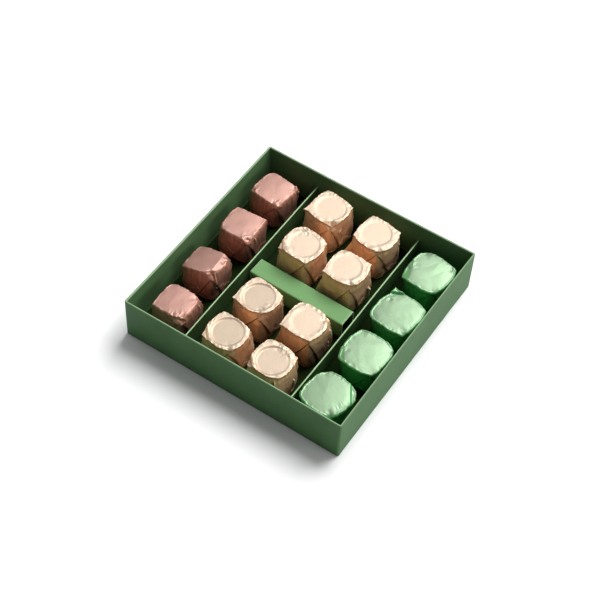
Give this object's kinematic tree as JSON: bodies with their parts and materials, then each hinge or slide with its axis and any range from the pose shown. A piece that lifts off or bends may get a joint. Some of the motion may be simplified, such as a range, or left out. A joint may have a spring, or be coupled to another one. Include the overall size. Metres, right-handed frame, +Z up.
{
  "type": "box of chocolate pralines",
  "caption": "Square open tray of paper-wrapped board with card dividers and a card bridge, filled with pralines wrapped in gold, rose and mint foil.",
  "frame": {"origin": "middle of the tray's underside", "axes": "+Z up; +X runs across the rows, from the rose row to the mint row; +Y runs along the rows, from the front wall to the back wall"},
  "size_m": [0.165, 0.165, 0.0344],
  "materials": {
    "green_paper": "greyboard wrapped in fine-grained matt green paper, paler where the light falls on it",
    "green_card": "smooth matt green card with pale cut edges",
    "gold_foil": "soft satin pale gold foil, folded and creased, with a round dimple under it",
    "rose_foil": "soft satin rose gold foil, folded and crumpled at the edges",
    "mint_foil": "soft satin mint green foil, smooth on top with crimped edges"
  },
  "bodies": {
    "root": {"tray": "green_paper", "divider_left": "green_card", "divider_right": "green_card", "bridge": "green_card", "praline_rose_1": "rose_foil", "praline_rose_2": "rose_foil", "praline_rose_3": "rose_foil", "praline_rose_4": "rose_foil", "praline_gold_1": "gold_foil", "praline_gold_2": "gold_foil", "praline_gold_3": "gold_foil", "praline_gold_4": "gold_foil", "praline_gold_5": "gold_foil", "praline_gold_6": "gold_foil", "praline_gold_7": "gold_foil", "praline_gold_8": "gold_foil", "praline_mint_1": "mint_foil", "praline_mint_2": "mint_foil", "praline_mint_3": "mint_foil", "praline_mint_4": "mint_foil"}
  },
  "joints": []
}
